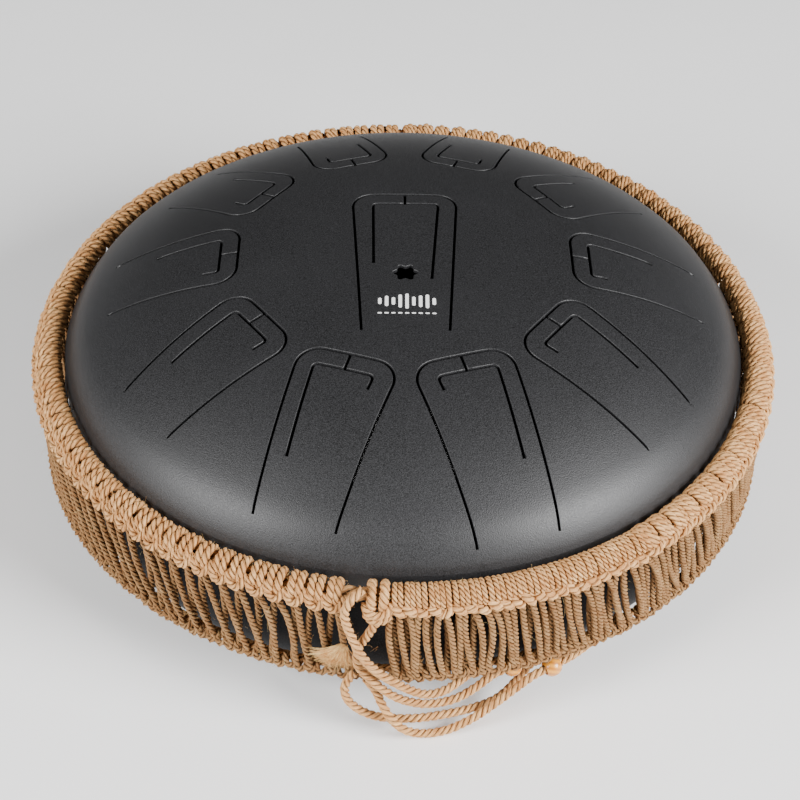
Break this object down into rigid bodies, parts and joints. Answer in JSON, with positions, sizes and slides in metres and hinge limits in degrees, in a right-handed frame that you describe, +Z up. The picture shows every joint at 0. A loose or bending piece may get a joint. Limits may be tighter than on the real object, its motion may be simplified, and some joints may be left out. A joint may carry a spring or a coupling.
{
  "type": "steel tongue drum",
  "caption": "Round black steel tongue drum: a slit-cut dome welded to a bowl with a sound port and rubber feet, in a knotted jute collar with beaded tie cords.",
  "frame": {"origin": "on the floor under the middle of the drum", "axes": "+Z up, the player sits on the -Y side, +X is the player's right"},
  "size_m": [0.378, 0.3867, 0.1483],
  "materials": {
    "coated_steel": "satin black powder coat over deep-drawn carbon steel, fine grain",
    "zinc_steel": "bright zinc plate",
    "rubber": "moulded black rubber",
    "jute": "natural three-ply twisted jute cord, hairy",
    "beech": "turned beech, clear honey lacquer"
  },
  "bodies": {
    "drum": {"upper_shell": "coated_steel", "lower_shell": "coated_steel", "rim_weld": "coated_steel", "foot_1": "rubber", "foot_screw_1": "zinc_steel", "foot_washer_1": "zinc_steel", "foot_nut_1": "zinc_steel", "foot_2": "rubber", "foot_screw_2": "zinc_steel", "foot_washer_2": "zinc_steel", "foot_nut_2": "zinc_steel", "foot_3": "rubber", "foot_screw_3": "zinc_steel", "foot_washer_3": "zinc_steel", "foot_nut_3": "zinc_steel", "collar_upper_ring": "jute", "collar_net": "jute", "collar_lower_ring": "jute", "finishing_knot": "jute", "frayed_tuft": "jute", "core_tail_short": "jute", "core_tail_long": "jute", "draw_tail_short": "jute", "draw_tail_long": "jute"},
    "tongue_centre": {"tongue_centre": "coated_steel"},
    "tongue_left_1": {"tongue_left_1": "coated_steel"},
    "tongue_left_2": {"tongue_left_2": "coated_steel"},
    "tongue_left_3": {"tongue_left_3": "coated_steel"},
    "tongue_left_4": {"tongue_left_4": "coated_steel"},
    "tongue_left_5": {"tongue_left_5": "coated_steel"},
    "tongue_right_1": {"tongue_right_1": "coated_steel"},
    "tongue_right_2": {"tongue_right_2": "coated_steel"},
    "tongue_right_3": {"tongue_right_3": "coated_steel"},
    "tongue_right_4": {"tongue_right_4": "coated_steel"},
    "tongue_right_5": {"tongue_right_5": "coated_steel"},
    "bead_inner": {"bead_inner": "beech"},
    "bead_outer": {"bead_outer": "beech"}
  },
  "joints": [
    {"name": "tongue_centre_flex", "type": "hinge", "parent": "drum", "child": "tongue_centre", "pos_m": [0, -0.0648, 0.14468], "axis": [-1, 0, 0], "range_deg": [-0.5, 0.5], "stiffness_Nm_per_rad": 20},
    {"name": "tongue_left_1_flex", "type": "hinge", "parent": "drum", "child": "tongue_left_1", "pos_m": [-0.05111, -0.1573, 0.10634], "axis": [-0.9511, 0.309, 0], "range_deg": [-0.5, 0.5], "stiffness_Nm_per_rad": 20},
    {"name": "tongue_left_2_flex", "type": "hinge", "parent": "drum", "child": "tongue_left_2", "pos_m": [-0.12532, -0.09105, 0.11445], "axis": [-0.5878, 0.809, 0], "range_deg": [-0.5, 0.5], "stiffness_Nm_per_rad": 20},
    {"name": "tongue_left_3_flex", "type": "hinge", "parent": "drum", "child": "tongue_left_3", "pos_m": [-0.1495, 0, 0.11783], "axis": [0, 1, 0], "range_deg": [-0.5, 0.5], "stiffness_Nm_per_rad": 20},
    {"name": "tongue_left_4_flex", "type": "hinge", "parent": "drum", "child": "tongue_left_4", "pos_m": [-0.11391, 0.08276, 0.12272], "axis": [0.5878, 0.809, 0], "range_deg": [-0.5, 0.5], "stiffness_Nm_per_rad": 20},
    {"name": "tongue_left_5_flex", "type": "hinge", "parent": "drum", "child": "tongue_left_5", "pos_m": [-0.04156, 0.12792, 0.12586], "axis": [0.9511, 0.309, 0], "range_deg": [-0.5, 0.5], "stiffness_Nm_per_rad": 20},
    {"name": "tongue_right_1_flex", "type": "hinge", "parent": "drum", "child": "tongue_right_1", "pos_m": [0.05235, -0.16111, 0.1015], "axis": [-0.9511, -0.309, 0], "range_deg": [-0.5, 0.5], "stiffness_Nm_per_rad": 20},
    {"name": "tongue_right_2_flex", "type": "hinge", "parent": "drum", "child": "tongue_right_2", "pos_m": [0.12847, -0.09334, 0.11181], "axis": [-0.5878, -0.809, 0], "range_deg": [-0.5, 0.5], "stiffness_Nm_per_rad": 20},
    {"name": "tongue_right_3_flex", "type": "hinge", "parent": "drum", "child": "tongue_right_3", "pos_m": [0.151, 0, 0.11692], "axis": [0, -1, 0], "range_deg": [-0.5, 0.5], "stiffness_Nm_per_rad": 20},
    {"name": "tongue_right_4_flex", "type": "hinge", "parent": "drum", "child": "tongue_right_4", "pos_m": [0.11601, 0.08429, 0.12132], "axis": [0.5878, -0.809, 0], "range_deg": [-0.5, 0.5], "stiffness_Nm_per_rad": 20},
    {"name": "tongue_right_5_flex", "type": "hinge", "parent": "drum", "child": "tongue_right_5", "pos_m": [0.04156, 0.12792, 0.12586], "axis": [0.9511, -0.309, 0], "range_deg": [-0.5, 0.5], "stiffness_Nm_per_rad": 20},
    {"name": "bead_inner_slide", "type": "slide", "parent": "drum", "child": "bead_inner", "axis": [0.906, 0.3874, 0.1702], "range_m": [-0.002, 0.002]},
    {"name": "bead_outer_slide", "type": "slide", "parent": "drum", "child": "bead_outer", "axis": [0.8768, 0.459, 0.1433], "range_m": [-0.002, 0.002]}
  ]
}
